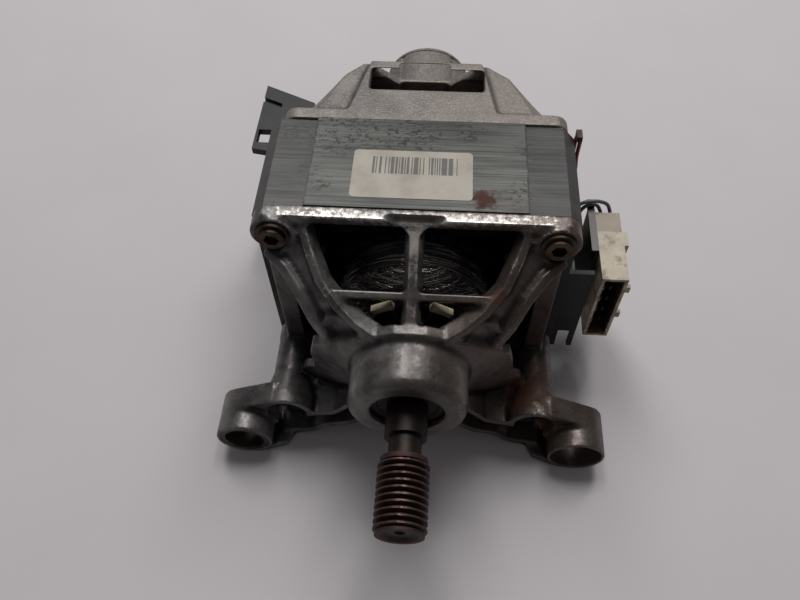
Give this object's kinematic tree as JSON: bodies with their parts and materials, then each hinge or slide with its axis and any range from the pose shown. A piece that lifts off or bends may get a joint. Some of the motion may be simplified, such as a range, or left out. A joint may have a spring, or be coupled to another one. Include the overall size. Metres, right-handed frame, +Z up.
{
  "type": "washing machine motor",
  "caption": "Brushed drive motor with a laminated square stator, two cast end shields, a ribbed belt pulley, lower mounting ears and a side connector.",
  "frame": {"origin": "on the shaft axis at the middle of the pulley's ribbed belt band", "axes": "-Y along the shaft out of the pulley's free end, +Z up, away from the mounting ears, +X to the side that carries the connector"},
  "size_m": [0.1639, 0.2237, 0.1025],
  "materials": {
    "pulley_steel": "brown surface rust with rubbed rib crests",
    "shaft_steel": "browned steel",
    "rotor_laminations": "varnished lamination stack",
    "enamelled_copper": "dark impregnated winding enamel",
    "cream_moulding": "cream insulating moulding",
    "commutator_copper": "copper segments",
    "dark_moulding": "dark filled moulding",
    "magnet": "sintered magnet",
    "rear_cast_aluminium": "as cast, light grey",
    "front_cast_aluminium": "as cast, greasy and worn bright on its edges",
    "bearing_steel": "ground steel",
    "black_rubber": "seal",
    "stator_laminations": "stacked sheet edges, blue grey, rust at the seams",
    "screw_steel": "dull plated steel",
    "bush_steel": "dull steel sleeve",
    "black_brown_moulding": "brown black moulding",
    "bracket_steel": "plated sheet",
    "ivory_moulding": "ivory moulding with brown stains",
    "white_moulding": "white moulding",
    "pin_metal": "tinned terminals",
    "grey_insulation": "grey lead insulation",
    "red_insulation": "red lead insulation",
    "grey_moulding": "mid grey moulding",
    "label_paper": "bare label",
    "brass_tube": "drawn tube",
    "carbon": "carbon",
    "spring_steel": "coil spring"
  },
  "bodies": {
    "motor": {"brush_holder_left": "dark_moulding", "brush_holder_right": "dark_moulding", "brush_holder_screws": "screw_steel", "brush_spring_left": "spring_steel", "brush_spring_right": "spring_steel", "brush_tube_left": "brass_tube", "brush_tube_right": "brass_tube", "coil_bobbin_left": "cream_moulding", "coil_bobbin_right": "cream_moulding", "connector_bracket": "bracket_steel", "connector_collar": "ivory_moulding", "connector_pins": "pin_metal", "connector_plug": "white_moulding", "connector_socket": "ivory_moulding", "field_coil_left": "enamelled_copper", "field_coil_right": "enamelled_copper", "front_bearing_outer": "bearing_steel", "front_bearing_seals": "black_rubber", "front_ear_left": "front_cast_aluminium", "front_ear_right": "front_cast_aluminium", "front_shield": "front_cast_aluminium", "grey_lead_inner": "grey_insulation", "grey_lead_outer": "grey_insulation", "housing_screws": "screw_steel", "label": "label_paper", "lead_guide": "grey_moulding", "left_ear_bush": "bush_steel", "rear_bearing_outer": "bearing_steel", "rear_bearing_seals": "black_rubber", "rear_ear_left": "rear_cast_aluminium", "rear_ear_right": "rear_cast_aluminium", "rear_shield": "rear_cast_aluminium", "red_lead_front": "red_insulation", "red_lead_rear": "red_insulation", "red_lead_splice": "pin_metal", "stator_core": "stator_laminations", "tacho_coil": "dark_moulding", "tacho_cover": "rear_cast_aluminium", "terminal_carrier": "black_brown_moulding", "wave_washer": "bearing_steel"},
    "rotor": {"pulley": "pulley_steel", "rotor_shaft": "shaft_steel", "rotor_core": "rotor_laminations", "armature_coils": "enamelled_copper", "armature_wires": "enamelled_copper", "armature_insulator": "cream_moulding", "commutator_bars": "commutator_copper", "commutator_hub": "dark_moulding", "tacho_magnet": "magnet", "front_bearing_inner": "bearing_steel", "front_bearing_balls": "bearing_steel", "rear_bearing_inner": "bearing_steel", "rear_bearing_balls": "bearing_steel"},
    "brush_left": {"carbon_brush_left": "carbon"},
    "brush_right": {"carbon_brush_right": "carbon"}
  },
  "joints": [
    {"name": "rotor_spin", "type": "hinge", "parent": "motor", "child": "rotor", "pos_m": [0, 0, 0], "axis": [0, 1, 0], "continuous": true},
    {"name": "brush_left_slide", "type": "slide", "parent": "motor", "child": "brush_left", "axis": [-1, 0, 0], "range_m": [0, 0.01], "stiffness_N_per_m": 300, "springref_m": -0.012, "deforming": ["brush_spring_left"]},
    {"name": "brush_right_slide", "type": "slide", "parent": "motor", "child": "brush_right", "axis": [1, 0, 0], "range_m": [0, 0.01], "stiffness_N_per_m": 300, "springref_m": -0.012, "deforming": ["brush_spring_right"]}
  ]
}
